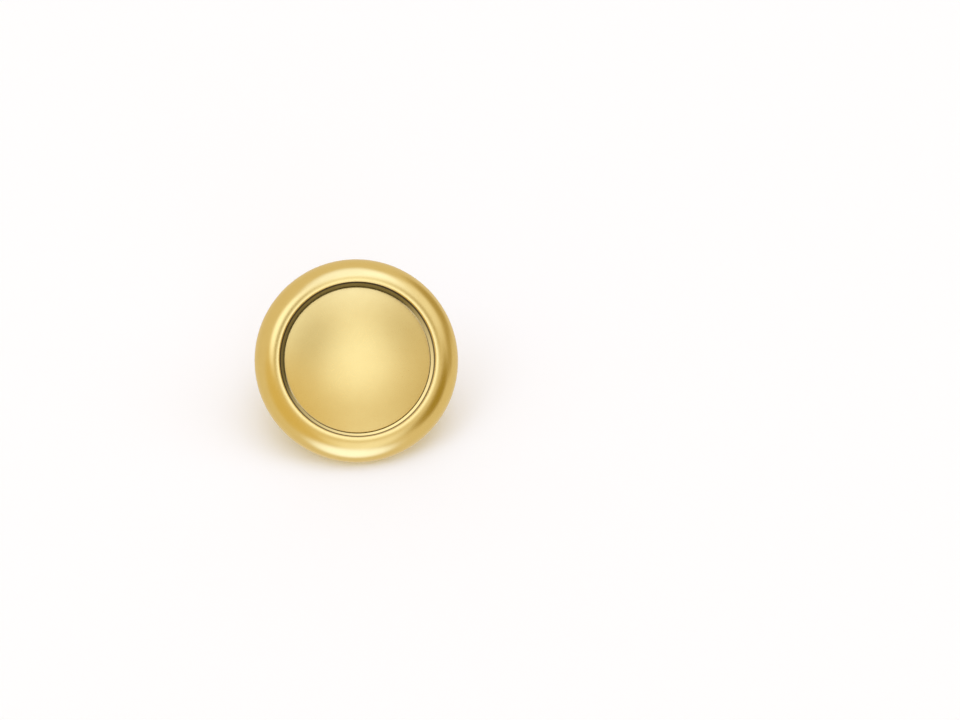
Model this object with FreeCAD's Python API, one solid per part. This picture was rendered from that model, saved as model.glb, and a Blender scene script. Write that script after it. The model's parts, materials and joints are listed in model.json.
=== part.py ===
import FreeCAD, Part
import math
import os

# A round button earring: a rounded ring setting, a low domed centre in it and a straight ear post.
# It rests on a flat surface as it would by itself, on the lowest edge of the ring and the tip of the post,
# so the face looks along -Y and up.
# Each piece is drawn as a half section and turned round an axis square to the face.
# In a section, the first number is the distance from the axis and the second the height above the flat back.

# Driving dimensions, millimetres
EARRING_DIAMETER = 18.0     # over the widest part of the ring
BACK_ROUND = 0.4            # radius of the ring's back edge
FRONT_ROUND = 2.06          # radius of the ring's front, from its widest part up to its crest
LIP_ROUND = 0.11            # radius of the small edge from the crest down into the recess
RECESS_DRAFT = 22.0         # degrees that the recess wall leans outwards
LEDGE_HEIGHT = 1.5          # where the dome is seated, above the flat back
POCKET_RADIUS = 5.9         # the deeper middle of the recess, which saves metal under the dome
FLOOR_THICKNESS = 0.6       # metal that closes the pocket at the back

DOME_FACE_RADIUS = 6.36     # where the domed face ends and its edge turns down
DOME_RISE = 0.65            # from the end of the domed face up to its middle
DOME_EDGE_DEPTH = 0.8       # from the ring's crest down to the end of the domed face
DOME_EDGE_ROUND = 0.1       # radius of the turned-down edge
DOME_METAL = 0.3            # sheet thickness of the pressed dome
SEAT_GAP = 0.04             # bonding film under the dome and under the post's pad

PAD_RADIUS = 2.5
PAD_THICKNESS = 0.5
PAD_EDGE_ROUND = 0.12
PIN_RADIUS = 0.4            # 20 gauge wire
PIN_LENGTH = 10.0           # from the pad to the tip
PIN_FILLET = 0.3            # where the pin meets the pad
POST_OFFSET = 2.0           # the post stands this far above the middle, so the face doesn't tip forward

# Dimensions that follow from them
RING_RADIUS = EARRING_DIAMETER / 2
RING_HEIGHT = BACK_ROUND + FRONT_ROUND
CREST_RADIUS = RING_RADIUS - FRONT_ROUND
DOME_SLOPE = 2 * math.atan(DOME_RISE / DOME_FACE_RADIUS)
DOME_BALL_RADIUS = DOME_FACE_RADIUS / math.sin(DOME_SLOPE)
DOME_RADIUS = DOME_FACE_RADIUS + DOME_EDGE_ROUND * (1 - math.sin(DOME_SLOPE))


def at(radius, height):
    """Place in the half section."""
    return FreeCAD.Vector(radius, 0, height)


def arc(centre, radius, start, end):
    """Arc in the half section; angles in radians, from outwards towards the face."""
    middle = (start + end) / 2
    places = [centre + at(radius * math.cos(a), radius * math.sin(a)) for a in (start, middle, end)]
    return Part.Arc(*places).toShape()


def outline_ends(item):
    """First and last point of an outline's point or arc."""
    if isinstance(item, FreeCAD.Vector):
        return item, item
    return item.valueAt(item.FirstParameter), item.valueAt(item.LastParameter)


def turned(outline):
    """Solid turned from points and arcs, given in order round the half section and joined by straight lines."""
    edges = []
    for item, following in zip(outline, outline[1:] + outline[:1]):
        if not isinstance(item, FreeCAD.Vector):
            edges.append(item)
        start = outline_ends(item)[1]
        end = outline_ends(following)[0]
        if not start.isEqual(end, 1e-6):
            edges.append(Part.LineSegment(start, end).toShape())
    face = Part.Face(Part.Wire(edges))
    return face.revolve(at(0, 0), FreeCAD.Vector(0, 0, 1), 360)


def make_rim():
    """Cast setting: ring with a quarter-round front, and a recess with a leaning wall, a ledge and a pocket."""
    quarter = math.pi / 2
    draft = math.radians(RECESS_DRAFT)
    lip = arc(at(CREST_RADIUS, RING_HEIGHT - LIP_ROUND), LIP_ROUND, quarter, 2 * quarter - draft)
    wall_top = outline_ends(lip)[1]
    ledge_radius = wall_top.x - (wall_top.z - LEDGE_HEIGHT) * math.tan(draft)
    return turned([
        at(0, 0),
        arc(at(RING_RADIUS - BACK_ROUND, BACK_ROUND), BACK_ROUND, -quarter, 0),
        arc(at(CREST_RADIUS, BACK_ROUND), FRONT_ROUND, 0, quarter),
        lip,
        at(ledge_radius, LEDGE_HEIGHT),
        at(POCKET_RADIUS, LEDGE_HEIGHT),
        at(POCKET_RADIUS, FLOOR_THICKNESS),
        at(0, FLOOR_THICKNESS),
    ])


def make_dome():
    """Pressed shell: a shallow part of a ball, its turned-down edge, a flat foot and the hollow inside it."""
    edge_height = RING_HEIGHT - DOME_EDGE_DEPTH
    foot_height = LEDGE_HEIGHT + SEAT_GAP
    ball_centre = at(0, edge_height + DOME_RISE - DOME_BALL_RADIUS)
    edge_centre = at(DOME_RADIUS - DOME_EDGE_ROUND, edge_height - DOME_EDGE_ROUND * math.cos(DOME_SLOPE))
    face_end = math.pi / 2 - DOME_SLOPE
    hollow_radius = DOME_BALL_RADIUS - DOME_METAL
    hollow_end = math.asin((foot_height - ball_centre.z) / hollow_radius)
    return turned([
        arc(ball_centre, DOME_BALL_RADIUS, math.pi / 2, face_end),
        arc(edge_centre, DOME_EDGE_ROUND, face_end, 0),
        at(DOME_RADIUS, foot_height),
        arc(ball_centre, hollow_radius, hollow_end, math.pi / 2),
    ])


def make_ear_post():
    """Plain post: a straight round pin with a rounded tip on a small round pad."""
    pad_top = -SEAT_GAP
    pad_foot = pad_top - PAD_THICKNESS
    tip = pad_foot - PIN_LENGTH
    quarter = math.pi / 2
    post = turned([
        at(0, pad_top),
        at(0, tip),
        arc(at(0, tip + PIN_RADIUS), PIN_RADIUS, -quarter, 0),
        arc(at(PIN_RADIUS + PIN_FILLET, pad_foot - PIN_FILLET), PIN_FILLET, 2 * quarter, quarter),
        arc(at(PAD_RADIUS - PAD_EDGE_ROUND, pad_foot + PAD_EDGE_ROUND), PAD_EDGE_ROUND, -quarter, 0),
        at(PAD_RADIUS, pad_top),
    ])
    post.translate(FreeCAD.Vector(0, POST_OFFSET, 0))
    return post


def resting_tilt():
    """Angle of the face's axis above level, with a level line under the ring's back edge and the post's tip."""
    tip_centre_depth = SEAT_GAP + PAD_THICKNESS + PIN_LENGTH - PIN_RADIUS
    along_axis = BACK_ROUND + tip_centre_depth
    across = RING_RADIUS - BACK_ROUND + POST_OFFSET
    lean = math.asin((BACK_ROUND - PIN_RADIUS) / math.hypot(along_axis, across))
    return math.atan2(across, along_axis) + lean


def set_at_rest(pieces):
    """Tilts the pieces together and stands the middle of their box on the origin."""
    for shape in pieces.values():
        shape.rotate(at(0, 0), FreeCAD.Vector(1, 0, 0), 90 - math.degrees(resting_tilt()))
    box = Part.makeCompound(list(pieces.values())).optimalBoundingBox(False, False)
    for shape in pieces.values():
        shape.translate(FreeCAD.Vector(-box.Center.x, -box.Center.y, -box.ZMin))


def main():
    os.makedirs("parts", exist_ok=True)
    pieces = {"rim": make_rim(), "dome": make_dome(), "ear_post": make_ear_post()}
    set_at_rest(pieces)
    for name, shape in pieces.items():
        shape.exportStep(f"parts/{name}.step")
        print(name, shape.ShapeType, "valid", shape.isValid(), "mm3", round(shape.Volume, 2))
    print("face axis above level, degrees", round(math.degrees(resting_tilt()), 3))


main()
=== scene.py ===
import json
import logging
import math
from dataclasses import dataclass
from enum import Enum
from typing import Any

import bpy
import numpy as np
from mathutils import Matrix, Vector


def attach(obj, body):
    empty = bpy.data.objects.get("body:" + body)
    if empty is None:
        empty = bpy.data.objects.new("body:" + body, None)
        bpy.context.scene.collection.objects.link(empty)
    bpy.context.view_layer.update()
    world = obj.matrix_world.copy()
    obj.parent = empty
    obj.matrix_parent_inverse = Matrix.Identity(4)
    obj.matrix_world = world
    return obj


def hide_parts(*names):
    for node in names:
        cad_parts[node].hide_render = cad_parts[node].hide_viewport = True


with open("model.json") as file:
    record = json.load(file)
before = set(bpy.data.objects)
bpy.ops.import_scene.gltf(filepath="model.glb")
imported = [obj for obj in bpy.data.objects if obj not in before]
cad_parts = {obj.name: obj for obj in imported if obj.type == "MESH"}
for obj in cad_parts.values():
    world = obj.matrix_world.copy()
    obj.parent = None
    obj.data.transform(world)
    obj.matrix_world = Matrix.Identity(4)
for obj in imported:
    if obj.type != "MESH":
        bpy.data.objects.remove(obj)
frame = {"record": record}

LOG = logging.getLogger("button_earring")
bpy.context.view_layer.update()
MM = 0.001
QUARTER = math.pi / 2
DEGREES_PER_HOUR = 30


def linear(hex_colour: str) -> tuple[float, float, float, float]:
    """Turns an sRGB hex colour to linear light.

    Args:
        hex_colour: Six hex digits after a hash, such as "#d9b36b".

    Returns:
        Red, green and blue in linear light, and an alpha of 1.
    """
    shares = [int(hex_colour[i:i + 2], 16) / 255 for i in (1, 3, 5)]
    light = [s / 12.92 if s <= 0.04045 else ((s + 0.055) / 1.055) ** 2.4 for s in shares]
    return (*light, 1.0)


def add_node(tree: bpy.types.NodeTree, kind: str, settings: dict[str, Any] | None = None,
             inputs: dict[Any, Any] | None = None) -> bpy.types.Node:
    """Adds a shader node with its settings and links.

    Args:
        tree: Node tree that gets the node.
        kind: Blender's type name of the node.
        settings: The node's own properties by name.
        inputs: Values or output sockets, by the name or number of the input that they go to.

    Returns:
        The new node.
    """
    node = tree.nodes.new(kind)
    for name, value in (settings or {}).items():
        setattr(node, name, value)
    for name, value in (inputs or {}).items():
        if isinstance(value, bpy.types.NodeSocket):
            tree.links.new(value, node.inputs[name])
        else:
            node.inputs[name].default_value = value
    return node


@dataclass(frozen=True)
class Seat:
    """Where the earring stands: the middle of its flat back, and the directions of its face."""

    centre: Vector
    sideways: Vector
    upwards: Vector
    outwards: Vector

    def matrix(self) -> Matrix:
        """Turns the earring's own axes (sideways, upwards, outwards) to the row frame."""
        columns = (self.sideways, self.upwards, self.outwards, self.centre)
        rows = [[column[i] for column in columns] for i in range(3)]
        return Matrix([*rows, [0, 0, 0, 1]])

    def place(self, points: np.ndarray) -> np.ndarray:
        """Carries points from the earring's own axes to the row frame.

        Args:
            points: Array of N by 3, in metres.

        Returns:
            The same points in the row frame.
        """
        turn = np.array(self.matrix())
        return points @ turn[:3, :3].T + turn[:3, 3]


def arc(centre: tuple[float, float], radius: float, start: float, end: float, steps: int) -> np.ndarray:
    """Points of an arc in a half section: the centre plus radius times (cosine, sine) of even angles.

    Args:
        centre: Distance from the axis and height, in millimetres.
        radius: Radius in millimetres.
        start: First angle in radians, from outwards (0) towards the face (a quarter turn).
        end: Last angle in radians.
        steps: Number of equal steps.

    Returns:
        Array of steps + 1 by 2.
    """
    angles = np.linspace(start, end, steps + 1)
    return np.asarray(centre) + radius * np.stack([np.cos(angles), np.sin(angles)], axis=1)


def straight(start: tuple[float, float], end: tuple[float, float], hold: float = 0.02) -> np.ndarray:
    """Points of a straight run in a half section, with one point near each end to hold its shading flat.

    Args:
        start: First point, in millimetres.
        end: Last point, in millimetres.
        hold: Distance of the holding points from the ends, in millimetres.

    Returns:
        Array of 5 by 2: the ends, the holding points and the middle.
    """
    first, last = np.asarray(start, float), np.asarray(end, float)
    share = hold / np.linalg.norm(last - first)
    return first + np.outer([0, share, 0.5, 1 - share, 1], last - first)


def joined(*runs: np.ndarray) -> np.ndarray:
    """Joins runs of a half section end to end and drops points that repeat.

    Args:
        runs: Arrays of N by 2, in millimetres.

    Returns:
        One array of the points that differ from the one before.
    """
    points = np.concatenate(runs)
    steps = np.linalg.norm(np.diff(points, axis=0), axis=1)
    return points[np.concatenate([[True], steps > 1e-5])]


def turned(name: str, section: np.ndarray, finish_and_shade: dict[str, np.ndarray], seat: Seat, sides: int,
           shift: float = 0.0) -> bpy.types.Object:
    """Turns a half section into a closed smooth mesh.

    A point of the surface is (radius times cosine u, radius times sine u plus shift, height), where radius
    and height run along the section and u runs once round. The two ends of the section lie on the axis and
    become single points.

    Args:
        name: Name of the object and its mesh.
        section: Array of N by 2 in millimetres, from one end on the axis to the other.
        finish_and_shade: Shares from 0 to 1 for each of its N points, by the name that the finish reads:
            "unpolished"
        where the polishing mop didn't reach, which is matt and painted in shade, and "stained" for the
        painted shade line right under the lip.
        seat: Where the earring stands.
        sides: Number of steps round the axis.
        shift: Distance of the axis above the middle of the face, in millimetres.

    Returns:
        The new object, at the origin with its place in its mesh.
    """
    turn = np.linspace(0, 2 * math.pi, sides, endpoint=False)
    radius, height = section[1:-1, :1], section[1:-1, 1:]
    grid = np.stack([radius * np.cos(turn), radius * np.sin(turn) + shift, height + 0 * turn], axis=2)
    ends = np.array([[0, shift, section[0, 1]], [0, shift, section[-1, 1]]])
    points = np.concatenate([grid.reshape(-1, 3), ends]) * MM

    here = np.arange(sides)
    following = (here + 1) % sides
    rows = np.arange(len(section) - 3)[:, None] * sides
    quads = np.stack([rows + here, rows + following, rows + sides + following, rows + sides + here], axis=2)
    last_row = (len(section) - 3) * sides
    first_end = len(points) - 2
    first_fan = np.stack([np.full(sides, first_end), following, here], axis=1)
    last_fan = np.stack([np.full(sides, first_end + 1), last_row + here, last_row + following], axis=1)

    mesh = bpy.data.meshes.new(name)
    faces = quads.reshape(-1, 4).tolist() + first_fan.tolist() + last_fan.tolist()
    mesh.from_pydata(seat.place(points).tolist(), [], faces)
    mesh.shade_smooth()
    for label, along in finish_and_shade.items():
        shares = np.concatenate([np.repeat(along[1:-1], sides), along[[0, -1]]])
        mesh.attributes.new(label, "FLOAT", "POINT").data.foreach_set("value", shares.astype(np.float32))
    mesh.update()
    piece = bpy.data.objects.new(name, mesh)
    bpy.context.scene.collection.objects.link(piece)
    return piece


class Polish(Enum):
    """How far a gold surface was polished before it was plated, as the roughness of its sheen."""

    BRIGHT = 0.22
    SATIN = 0.28
    WIRE = 0.24


@dataclass(frozen=True)
class GoldPlate:
    """Electroplated gold on polished brass: a yellow sheen, a faint orange peel and fine polishing marks.

    The plate is bright where the mop reached, so that it mirrors the lamps as soft pale bands. In the
    groove, which the mop didn't reach, the rough skin under the plate leaves it matt, and its dull olive
    colour is painted shade that only gleams where a lamp shines straight on it. A thin, near-black line
    right under the lip is painted shade too. The orange peel is about a millimetre wide and carries a
    slightly deeper tone, as where plate is thinner. The marks are a twentieth of that and only move the
    roughness. Both are as faint as on new plate.
    """

    name: str
    polish: Polish
    colour: str = "#efd389"
    thin_colour: str = "#ebcd83"
    # Painted shade: the groove's dull olive, much darker than the plate, stands for its shadow.
    unpolished_shade_colour: str = "#85733a"
    # Painted shade: the near-black line right under the lip.
    lip_shade_colour: str = "#36290a"
    unpolished_roughness: float = 0.8
    unpolished_metallic: float = 0.0
    peel_mm: float = 0.9
    peel_depth_mm: float = 0.00015
    peel_detail: float = 2.0
    mark_mm: float = 0.05
    mark_depth: float = 0.03
    mark_detail: float = 3.0
    mark_range: tuple[float, float] = (0.3, 0.7)

    def material(self, seat: Seat) -> bpy.types.Material:
        """Builds the node material.

        Args:
            seat: Where the earring stands, which the patterns are centred and turned on.

        Returns:
            The material.
        """
        material = bpy.data.materials.new(self.name)
        material.use_nodes = True
        tree = material.node_tree
        tree.nodes.clear()
        place = add_node(tree, "ShaderNodeTexCoord")
        own_axes = seat.matrix().inverted()
        centred = add_node(tree, "ShaderNodeMapping", inputs={
            "Vector": place.outputs["Object"], "Location": own_axes.to_translation(),
            "Rotation": own_axes.to_euler()})
        peel = add_node(tree, "ShaderNodeTexNoise", inputs={
            "Vector": centred.outputs["Vector"], "Scale": 1 / (self.peel_mm * MM),
            "Detail": self.peel_detail})
        marks = add_node(tree, "ShaderNodeTexNoise", inputs={
            "Vector": centred.outputs["Vector"], "Scale": 1 / (self.mark_mm * MM),
            "Detail": self.mark_detail})
        # Masks from the mesh: the matt groove, whose colour is painted shade, and the painted shade line
        # under the lip.
        unpolished_shade_mask = add_node(tree, "ShaderNodeAttribute", {"attribute_name": "unpolished_and_shaded"})
        painted_lip_shade = add_node(tree, "ShaderNodeAttribute", {"attribute_name": "painted_lip_shade"})
        polished_tone = add_node(tree, "ShaderNodeMix", {"data_type": "RGBA"}, {
            0: peel.outputs["Fac"], 6: linear(self.colour), 7: linear(self.thin_colour)})
        # Painted shade: the groove's dull olive, going near-black right under the lip.
        groove_shade_tone = add_node(tree, "ShaderNodeMix", {"data_type": "RGBA"}, {
            0: painted_lip_shade.outputs["Fac"], 6: linear(self.unpolished_shade_colour), 7: linear(self.lip_shade_colour)})
        tone = add_node(tree, "ShaderNodeMix", {"data_type": "RGBA"}, {
            0: unpolished_shade_mask.outputs["Fac"], 6: polished_tone.outputs[2], 7: groove_shade_tone.outputs[2]})
        polished_rough = add_node(tree, "ShaderNodeMapRange", inputs={
            "Value": marks.outputs["Fac"], "From Min": self.mark_range[0], "From Max": self.mark_range[1],
            "To Min": self.polish.value * (1 - self.mark_depth),
            "To Max": self.polish.value * (1 + self.mark_depth)})
        rough = add_node(tree, "ShaderNodeMix", {"data_type": "FLOAT"}, {
            0: unpolished_shade_mask.outputs["Fac"], 2: polished_rough.outputs["Result"], 3: self.unpolished_roughness})
        metallic = add_node(tree, "ShaderNodeMapRange", inputs={
            "Value": unpolished_shade_mask.outputs["Fac"], "To Min": 1.0, "To Max": self.unpolished_metallic})
        bump = add_node(tree, "ShaderNodeBump", inputs={
            "Height": peel.outputs["Fac"], "Distance": self.peel_depth_mm * MM, "Strength": 1.0})
        shader = add_node(tree, "ShaderNodeBsdfPrincipled", inputs={
            "Base Color": tone.outputs[2], "Metallic": metallic.outputs["Result"],
            "Roughness": rough.outputs[0], "Normal": bump.outputs["Normal"]})
        add_node(tree, "ShaderNodeOutputMaterial", inputs={"Surface": shader.outputs["BSDF"]})
        return material


@dataclass
class Rim:
    """The cast setting: ring, recess and floor. Sizes in millimetres."""

    ring_radius: float = 9.0
    back_round: float = 0.4
    front_round: float = 2.06
    lip_round: float = 0.11
    floor_thickness: float = 0.6
    recess_draft_deg: float = 22.0
    ledge_height: float = 1.5
    pocket_radius: float = 5.9
    # Depth down the recess wall of the painted shade line under the lip, and the width over which it fades.
    lip_shade_depth: float = 0.27
    lip_shade_fade: float = 0.06
    edge_step: float = 0.004
    sides: int = 384

    @property
    def height(self) -> float:
        """From the flat back to the crest."""
        return self.back_round + self.front_round

    def section(self) -> np.ndarray:
        """Half section: flat back, back edge, quarter-round front, lip, recess wall and floor.

        Returns:
            Array of N by 2 in millimetres, from the axis at the back to the axis at the recess floor.
        """
        crest = self.ring_radius - self.front_round
        back_centre = (self.ring_radius - self.back_round, self.back_round)
        draft = math.radians(self.recess_draft_deg)
        lip = arc((crest, self.height - self.lip_round), self.lip_round, QUARTER, 2 * QUARTER - draft, 16)
        ledge_outer = lip[-1, 0] - (lip[-1, 1] - self.ledge_height) * math.tan(draft)
        # End of the painted shade line under the lip, down the recess wall.
        lip_shade_end = lip[-1] - self.lip_shade_depth * np.array([math.tan(draft), 1])
        return joined(
            straight((0, 0), (self.ring_radius - self.back_round, 0)),
            arc(back_centre, self.back_round, -QUARTER, 0, 20),
            arc((crest, self.back_round), self.front_round, 0, QUARTER, 80),
            lip,
            straight(lip[-1], lip_shade_end, self.edge_step),
            straight(lip_shade_end, (ledge_outer, self.ledge_height), self.lip_shade_fade),
            straight((ledge_outer, self.ledge_height), (self.pocket_radius, self.ledge_height)),
            straight((self.pocket_radius, self.ledge_height), (self.pocket_radius, self.floor_thickness)),
            straight((self.pocket_radius, self.floor_thickness), (0, self.floor_thickness)),
        )

    def build(self, seat: Seat, plate: GoldPlate) -> bpy.types.Object:
        """Makes the ring, dresses it and puts it in the place of the plain one.

        Args:
            seat: Where the earring stands.
            plate: Its finish.

        Returns:
            The finished piece.
        """
        section = self.section()
        lip_end = self.height - self.lip_round * (1 - math.sin(math.radians(self.recess_draft_deg)))
        below_lip = lip_end - section[:, 1]
        crest = np.argmax(section[:, 1])
        in_recess = np.arange(len(section)) > crest
        # Below the lip the recess is matt and painted in shade, and its top band is painted near-black
        # shade.
        unpolished_and_shaded = in_recess * np.clip(below_lip / self.edge_step, 0, 1)
        painted_lip_shade = unpolished_and_shaded * (1 - np.clip((below_lip - self.lip_shade_depth) / self.lip_shade_fade, 0, 1))
        finish_and_shade = {"unpolished_and_shaded": unpolished_and_shaded, "painted_lip_shade": painted_lip_shade}
        piece = turned("rim_plated", section, finish_and_shade, seat, self.sides)
        return dress(piece, plate.material(seat), "rim")


@dataclass
class Dome:
    """The pressed centre: a shallow part of a ball with a turned-down edge. Sizes in millimetres."""

    rim: Rim
    face_radius: float = 6.36
    rise: float = 0.65
    edge_depth: float = 0.8
    edge_round: float = 0.1
    metal: float = 0.3
    seat_gap: float = 0.04
    # Height over which the matt, shade-painted edge fades in below the face.
    unpolished_shade_fade: float = 0.03
    sides: int = 384

    def section(self) -> np.ndarray:
        """Half section: domed face, turned-down edge, foot and the hollow under the face.

        Returns:
            Array of N by 2 in millimetres, from the axis under the dome to the axis on its face.
        """
        slope = 2 * math.atan(self.rise / self.face_radius)
        ball = self.face_radius / math.sin(slope)
        outer = self.face_radius + self.edge_round * (1 - math.sin(slope))
        edge_height = self.rim.height - self.edge_depth
        ball_centre = (0, edge_height + self.rise - ball)
        edge_centre = (outer - self.edge_round, edge_height - self.edge_round * math.cos(slope))
        foot = self.rim.ledge_height + self.seat_gap
        inner_ball = ball - self.metal
        inner_end = math.asin((foot - ball_centre[1]) / inner_ball)
        foot_start = inner_ball * math.cos(inner_end)
        return joined(
            arc(ball_centre, inner_ball, QUARTER, inner_end, 30),
            straight((foot_start, foot), (outer, foot)),
            straight((outer, foot), (outer, edge_centre[1]), 0.01),
            arc(edge_centre, self.edge_round, 0, QUARTER - slope, 16),
            arc(ball_centre, ball, QUARTER - slope, QUARTER, 90),
        )

    def build(self, seat: Seat, plate: GoldPlate) -> bpy.types.Object:
        """Makes the dome, dresses it and puts it in the place of the plain one.

        Args:
            seat: Where the earring stands.
            plate: Its finish.

        Returns:
            The finished piece.
        """
        section = self.section()
        below_edge = self.rim.height - self.edge_depth - section[:, 1]
        # Below the face's edge the dome is matt and painted in the groove's shade.
        unpolished_and_shaded = np.clip(below_edge / self.unpolished_shade_fade, 0, 1)
        piece = turned("dome_plated", section, {"unpolished_and_shaded": unpolished_and_shaded}, seat, self.sides)
        return dress(piece, plate.material(seat), "dome")


@dataclass
class EarPost:
    """The plain post: a straight pin on a round pad. Sizes in millimetres."""

    pad_radius: float = 2.5
    pad_thickness: float = 0.5
    pad_edge_round: float = 0.12
    pin_radius: float = 0.4
    pin_length: float = 10.0
    pin_fillet: float = 0.3
    offset: float = 2.0
    seat_gap: float = 0.04
    sides: int = 128

    def section(self) -> np.ndarray:
        """Half section: rounded tip, pin, fillet and pad.

        Returns:
            Array of N by 2 in millimetres, from the tip to the middle of the pad's top.
        """
        pad_top = -self.seat_gap
        pad_foot = pad_top - self.pad_thickness
        tip_centre = pad_foot - self.pin_length + self.pin_radius
        fillet_centre = (self.pin_radius + self.pin_fillet, pad_foot - self.pin_fillet)
        edge_centre = (self.pad_radius - self.pad_edge_round, pad_foot + self.pad_edge_round)
        return joined(
            arc((0, tip_centre), self.pin_radius, -QUARTER, 0, 16),
            straight((self.pin_radius, tip_centre), (self.pin_radius, fillet_centre[1])),
            arc(fillet_centre, self.pin_fillet, 2 * QUARTER, QUARTER, 10),
            straight((fillet_centre[0], pad_foot), (edge_centre[0], pad_foot)),
            arc(edge_centre, self.pad_edge_round, -QUARTER, 0, 8),
            straight((self.pad_radius, edge_centre[1]), (self.pad_radius, pad_top)),
            straight((self.pad_radius, pad_top), (0, pad_top)),
        )

    def build(self, seat: Seat, plate: GoldPlate) -> bpy.types.Object:
        """Makes the post, dresses it and puts it in the place of the plain one.

        Args:
            seat: Where the earring stands.
            plate: Its finish.

        Returns:
            The finished piece.
        """
        piece = turned("ear_post_plated", self.section(), {}, seat, self.sides, self.offset)
        return dress(piece, plate.material(seat), "ear_post")

    def seat(self) -> Seat:
        """Works out where the earring stands from the post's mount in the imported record.

        Returns:
            The seat of the whole earring.
        """
        mount = next(m for m in frame["record"]["mounts"] if m["name"] == "post")
        outwards = -Vector(mount["axis"]).normalized()
        sideways = Vector((1, 0, 0))
        upwards = outwards.cross(sideways)
        to_back = self.seat_gap + self.pad_thickness + self.pin_fillet + mount["dims"]["length_mm"] / 2
        centre = Vector(mount["pos_m"]) + outwards * to_back * MM - upwards * self.offset * MM
        return Seat(centre, sideways, upwards, outwards)


def dress(piece: bpy.types.Object, material: bpy.types.Material, node: str) -> bpy.types.Object:
    """Gives a piece its material and puts it in the place of a plain CAD node.

    Args:
        piece: The finished mesh.
        material: Its finish.
        node: The CAD node that it stands for.

    Returns:
        The same piece.
    """
    piece.data.materials.append(material)
    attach(piece, "root")
    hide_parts(node)
    return piece


@dataclass(frozen=True)
class Viewpoint:
    """The photo's view of the earring, with sizes in pixels of its 960 by 720 frame."""

    ring_middle: tuple[float, float] = (356.6, 360.6)
    ring_width: float = 203.5
    frame_size: tuple[float, float] = (960.0, 720.0)
    lens_mm: float = 100.0
    sensor_mm: float = 36.0
    nearest_m: float = 0.01
    face_turned_right_deg: float = 3.0
    face_turned_up_deg: float = 3.5

    def towards(self, seat: Seat) -> Vector:
        """Direction from the earring to the camera, a little below and left of the face's own."""
        left = math.tan(math.radians(self.face_turned_right_deg))
        below = math.tan(math.radians(self.face_turned_up_deg))
        return (seat.outwards - seat.sideways * left - seat.upwards * below).normalized()

    def build(self, seat: Seat, rim: Rim) -> bpy.types.Object:
        """Makes the camera and puts the ring where the photo shows it, with the horizon level.

        Args:
            seat: Where the earring stands.
            rim: The ring, for its size.

        Returns:
            The camera.
        """
        focal = self.lens_mm / self.sensor_mm * self.frame_size[0]
        depth = focal * 2 * rim.ring_radius * MM / self.ring_width
        right = self.ring_middle[0] - self.frame_size[0] / 2
        above = self.frame_size[1] / 2 - self.ring_middle[1]
        ray = Vector((right, above, -focal))
        look = -self.towards(seat)
        upright = math.hypot(above, focal) / ray.length
        pitch = math.acos(-look.z / upright) - math.atan2(above, focal)
        lifted = Matrix.Rotation(pitch, 3, "X") @ ray
        yaw = math.atan2(look.y, look.x) - math.atan2(lifted.y, lifted.x)
        turn = Matrix.Rotation(yaw, 3, "Z") @ Matrix.Rotation(pitch, 3, "X")
        middle = seat.centre + seat.outwards * rim.back_round * MM
        place = middle - turn @ ray * (depth / focal)

        data = bpy.data.cameras.new("photo_view")
        data.lens = self.lens_mm
        data.sensor_width = self.sensor_mm
        data.clip_start = self.nearest_m
        camera = bpy.data.objects.new("photo_view", data)
        camera.matrix_world = Matrix.Translation(place) @ turn.to_4x4()
        bpy.context.scene.collection.objects.link(camera)
        bpy.context.scene.camera = camera
        return camera


class LampColour(Enum):
    """Colours of the studio's lamps, and for a flag the light that it takes away."""

    SKY = "#b0ccff"
    DEEP_SKY = "#90b4ff"
    PLAIN = "#e0e8ff"
    BLUE_ONLY = "#60a0ff"


def across_face(seat: Seat, clock: float) -> Vector:
    """Direction in the plane of the face, by the hour of a clock face: 12 is its top and 3 its right."""
    turn = math.radians(clock * DEGREES_PER_HOUR)
    return seat.sideways * math.sin(turn) + seat.upwards * math.cos(turn)


@dataclass(frozen=True)
class Glow:
    """A soft lamp far away, or a dark flag if its strength is negative, placed by where the gold mirrors it.

    The camera sees it in the metal at the hour clock, where the surface leans lean_deg outwards: 0 is the
    middle of the dome, 12 its edge, and 10 to 90 the ring's front from its crest to its outline.
    """

    clock: float
    lean_deg: float
    size_deg: float
    colour: LampColour
    strength: float

    def direction(self, seat: Seat, to_camera: Vector) -> Vector:
        """Direction to the lamp: the camera's own, mirrored in the surface that leans that way.

        Args:
            seat: Where the earring stands.
            to_camera: Unit direction from the earring to the camera.

        Returns:
            The unit direction.
        """
        lean = math.radians(self.lean_deg)
        normal = seat.outwards * math.cos(lean) + across_face(seat, self.clock) * math.sin(lean)
        return normal * (2 * normal.dot(to_camera)) - to_camera

    def light(self) -> Vector:
        """Linear light that the lamp adds to the tent's."""
        return Vector(linear(self.colour.value)[:3]) * self.strength


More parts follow.
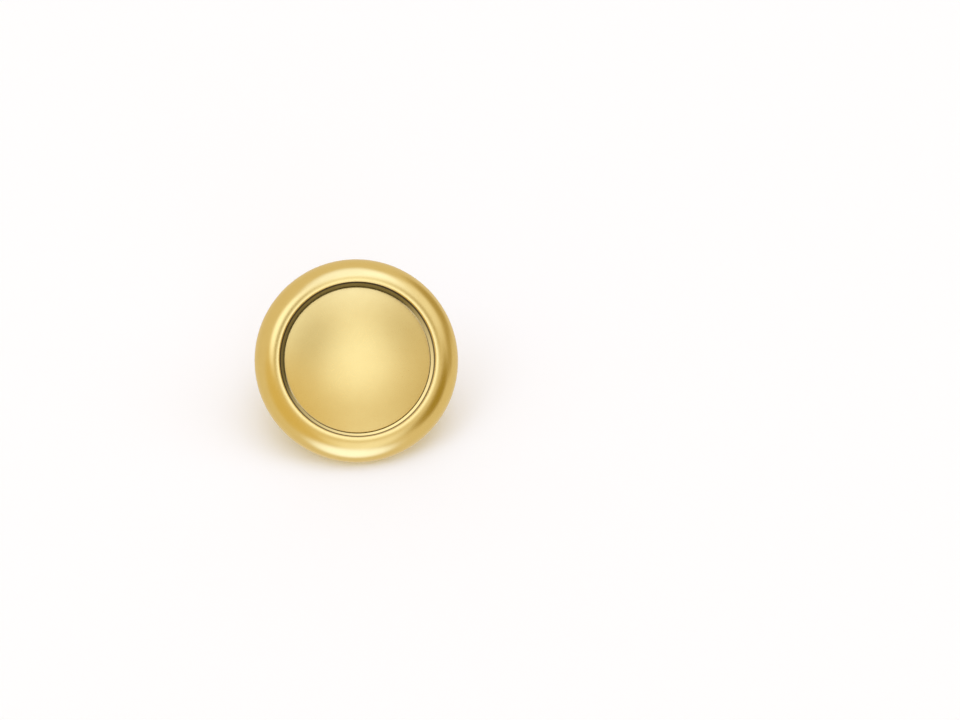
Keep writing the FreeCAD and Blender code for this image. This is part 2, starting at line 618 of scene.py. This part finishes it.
@dataclass
class Studio:
    """A pale floor under an even tent of light, with soft lamps in it.

    The floor lights the earring but is left out of what the metal mirrors: there the lamps below the horizon
    stand for the white table of a product photo, which is lit unevenly.
    """

    floor_colour: str = "#fdfcfa"
    backdrop_colour: str = "#fffefd"
    tent_colour: str = "#fff6e0"
    tent_strength: float = 0.8
    floor_half_width: float = 1.5
    floor_roughness: float = 0.9
    # Each row: hour on the clock, lean in degrees, size in degrees, colour, strength.
    glows: tuple[Glow, ...] = (
        # A lamp straight before the face: the bright middle of the dome.
        Glow(12, 0, 18, LampColour.SKY, 1.4),
        # A small lamp above it: the pale patch at the dome's top edge.
        Glow(12, 11, 12, LampColour.SKY, 0.5),
        # Two small flags beside it: the browner shoulders of the dome.
        Glow(10, 9, 12, LampColour.PLAIN, -0.7),
        Glow(2, 10, 12, LampColour.PLAIN, -0.4),
        # The main lamp overhead and a smaller one on its left: the pale arc over the ring, from 9 to 1.
        Glow(12, 22, 31, LampColour.DEEP_SKY, 1.5),
        Glow(10, 18, 21, LampColour.SKY, 1.5),
        # A fill lamp on the right: the softer end of the arc.
        Glow(1.5, 22, 32, LampColour.SKY, 0.5),
        # A low lamp in front, and one where the table would be mirrored: the pale bottom of the ring.
        Glow(6, 20, 25, LampColour.SKY, 0.7),
        Glow(6.3, 42, 37, LampColour.DEEP_SKY, 1.9),
        # Three flags on the right: the brown streak that climbs the ring from 4 to 2.
        Glow(4, 25, 29, LampColour.PLAIN, -0.55),
        Glow(3, 37, 20, LampColour.PLAIN, -0.35),
        Glow(2, 46, 30, LampColour.PLAIN, -0.4),
        # A flag that takes away blue: the deep gold of the ring's lower left.
        Glow(8, 25, 45, LampColour.BLUE_ONLY, -0.3),
    )

    def build_floor(self) -> bpy.types.Object:
        """Makes the matt floor.

        Returns:
            The floor.
        """
        half = self.floor_half_width
        mesh = bpy.data.meshes.new("floor")
        mesh.from_pydata([(-half, -half, 0), (half, -half, 0), (half, half, 0), (-half, half, 0)], [],
                         [(0, 1, 2, 3)])
        floor = bpy.data.objects.new("floor", mesh)
        bpy.context.scene.collection.objects.link(floor)
        # Matt white card: an even pale ground that takes a soft shadow and shows no reflection.
        material = bpy.data.materials.new("matt_white_card")
        material.use_nodes = True
        shader = material.node_tree.nodes["Principled BSDF"]
        shader.inputs["Base Color"].default_value = linear(self.floor_colour)
        shader.inputs["Roughness"].default_value = self.floor_roughness
        shader.inputs["Specular IOR Level"].default_value = 0.0
        mesh.materials.append(material)
        floor.visible_glossy = False
        return floor

    def build_light(self, seat: Seat, to_camera: Vector) -> None:
        """Fills the world with the tent's light and the lamps, and shows the camera a plain backdrop.

        The light of a direction is the tent's plus, for each lamp, the lamp's light times a smooth step that
        rises from 0 at the lamp's size to 1 at its middle, along the cosine of the angle between them.

        Args:
            seat: Where the earring stands.
            to_camera: Unit direction from the earring to the camera.
        """
        world = bpy.data.worlds.new("light_tent")
        bpy.context.scene.world = world
        world.use_nodes = True
        tree = world.node_tree
        tree.nodes.clear()
        direction = add_node(tree, "ShaderNodeTexCoord")
        tent = Vector(linear(self.tent_colour)[:3]) * self.tent_strength
        total = add_node(tree, "ShaderNodeCombineXYZ", inputs=dict(zip("XYZ", tent)))
        for glow in self.glows:
            facing = add_node(tree, "ShaderNodeVectorMath", {"operation": "DOT_PRODUCT"}, {
                0: direction.outputs["Generated"], 1: glow.direction(seat, to_camera)})
            patch = add_node(tree, "ShaderNodeMapRange", {"interpolation_type": "SMOOTHERSTEP"}, {
                "Value": facing.outputs["Value"], "From Min": math.cos(math.radians(glow.size_deg)),
                "From Max": 1.0, "To Min": 0.0, "To Max": 1.0})
            total = add_node(tree, "ShaderNodeVectorMath", {"operation": "MULTIPLY_ADD"}, {
                0: patch.outputs["Result"], 1: glow.light(), 2: total.outputs["Vector"]})
        rays = add_node(tree, "ShaderNodeLightPath")
        seen = add_node(tree, "ShaderNodeMix", {"data_type": "RGBA"}, {
            0: rays.outputs["Is Camera Ray"], 6: total.outputs["Vector"], 7: linear(self.backdrop_colour)})
        background = add_node(tree, "ShaderNodeBackground", inputs={"Color": seen.outputs[2]})
        add_node(tree, "ShaderNodeOutputWorld", inputs={"Surface": background.outputs["Background"]})


@dataclass(frozen=True)
class ChosenLamp:
    """A far lamp that lights only chosen objects and isn't mirrored by the polished metal.

    It shines from the hour clock round the face, lifted by lift_deg from the plane of the face.
    """

    name: str
    clock: float
    lift_deg: float
    spread_deg: float
    colour: str
    strength: float

    def build(self, seat: Seat, lit: tuple[bpy.types.Object, ...]) -> bpy.types.Object:
        """Makes the lamp and links it to what it lights.

        Args:
            seat: Where the earring stands.
            lit: The objects that it lights.

        Returns:
            The lamp.
        """
        data = bpy.data.lights.new(self.name, "SUN")
        data.energy = self.strength
        data.color = linear(self.colour)[:3]
        data.angle = math.radians(self.spread_deg)
        lamp = bpy.data.objects.new(self.name, data)
        lift = math.radians(self.lift_deg)
        facing = across_face(seat, self.clock) * math.cos(lift) + seat.outwards * math.sin(lift)
        lamp.rotation_euler = facing.to_track_quat("Z", "Y").to_euler()
        lamp.visible_glossy = False
        bpy.context.scene.collection.objects.link(lamp)
        receivers = bpy.data.collections.new(f"lit_by_{self.name}")
        for piece in lit:
            receivers.objects.link(piece)
        lamp.light_linking.receiver_collection = receivers
        return lamp


def main() -> None:
    """Builds the earring, the camera and the studio, and reports each piece."""
    logging.basicConfig(level=logging.INFO, format="%(message)s")
    rim, post = Rim(), EarPost()
    dome = Dome(rim)
    seat = post.seat()
    bpy.context.scene.view_settings.view_transform = "Standard"
    viewpoint = Viewpoint()
    viewpoint.build(seat, rim)
    studio = Studio()
    floor = studio.build_floor()
    studio.build_light(seat, viewpoint.towards(seat))
    pieces = (
        # Cast brass, mopped and gold plated: a full, rounded gleam with clear pale bands along the ring.
        rim.build(seat, GoldPlate("mopped_gold_plate_on_cast_brass", Polish.BRIGHT)),
        # Pressed brass sheet, finely brushed and gold plated: the lamps blur to broad clouds on the dome.
        dome.build(seat, GoldPlate("satin_gold_plate_on_pressed_brass", Polish.SATIN)),
        # Drawn brass wire on a stamped pad, gold plated: one thin bright line down the pin.
        post.build(seat, GoldPlate("gold_plate_on_drawn_brass_wire", Polish.WIRE)),
    )
    # From the upper left into the groove: its dull wall gleams at the lower right.
    ChosenLamp("groove_lamp", clock=11, lift_deg=33, spread_deg=12, colour="#b4bcff",
               strength=30).build(seat, pieces)
    # Straight above, for the table alone: it whitens the card without another light in the metal.
    ChosenLamp("table_lamp", clock=12, lift_deg=45, spread_deg=60, colour="#ffeedd",
               strength=0.4).build(seat, (floor,))
    for piece in pieces:
        LOG.info("%s: %d faces", piece.name, len(piece.data.polygons))


if __name__ == "__main__":
    main()
